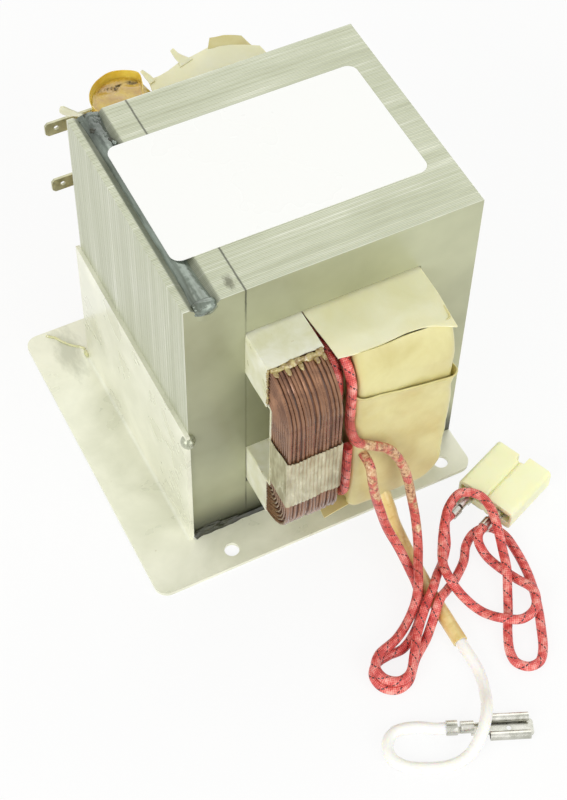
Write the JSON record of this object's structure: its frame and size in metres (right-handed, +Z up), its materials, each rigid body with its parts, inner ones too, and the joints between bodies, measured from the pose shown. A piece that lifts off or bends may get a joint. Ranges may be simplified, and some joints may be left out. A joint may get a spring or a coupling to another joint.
{
  "type": "high voltage transformer",
  "caption": "High voltage transformer of the shell type on a base sheet, with primary, filament and paper-wrapped secondary coils and free leads with terminals.",
  "frame": {"origin": "centre of the pattern of the four fixing holes, which is under the middle of the core, on the underside of the base sheet", "axes": "+Z up through the core, +Y towards the rear end of the coils, +X from the primary to the secondary"},
  "size_m": [0.122, 0.2054, 0.1063],
  "materials": {
    "lamination": "varnished electrical steel, fine parallel sheet edges",
    "weld": "dark glossy bead under varnish",
    "zinc_sheet": "zinc-plated cold-rolled sheet, glossy under varnish",
    "label": "plain white coated film, blank",
    "shunt": "varnished electrical steel",
    "fibre": "near-white varnished fibre paper",
    "clear_tape": "translucent tape with a varnish gloss",
    "amber_tape": "amber polyester film tape",
    "enamelled_wire": "brown-rose enamelled copper wire, semi-gloss",
    "tinned_brass": "bright tin plate",
    "red_braid": "coral red braid with dark tracer flecks",
    "slot_paper": "cream-yellow insulating paper, slightly glossy",
    "nylon": "pale yellow translucent nylon",
    "sleeving": "pale yellow varnished sleeving",
    "silicone": "translucent white silicone rubber"
  },
  "bodies": {
    "root": {"e_core": "lamination", "i_core": "lamination", "top_weld_bead": "weld", "bottom_weld_bead": "weld", "base_plate": "zinc_sheet", "wall_tack_weld": "weld", "label_panel": "label", "shunt_upper": "shunt", "shunt_lower": "shunt", "primary_sleeve": "fibre", "primary_winding": "enamelled_wire", "primary_liner_upper": "fibre", "primary_liner_lower": "fibre", "primary_tape_band": "clear_tape", "primary_rear_tape": "amber_tape", "tab_terminal_upper": "tinned_brass", "tab_terminal_lower": "tinned_brass", "filament_winding": "red_braid", "secondary_sleeve": "fibre", "secondary_winding": "enamelled_wire", "secondary_liner_upper": "slot_paper", "secondary_liner_lower": "slot_paper", "secondary_front_wrap": "slot_paper", "secondary_front_sheet": "slot_paper", "secondary_rear_wrap": "slot_paper", "filament_lead_left": "red_braid", "filament_lead_right": "red_braid", "crimp_terminal_left": "tinned_brass", "crimp_terminal_right": "tinned_brass", "plug_housing": "nylon", "hv_sleeve": "sleeving", "hv_lead": "silicone", "push_on_receptacle": "tinned_brass"}
  },
  "joints": []
}
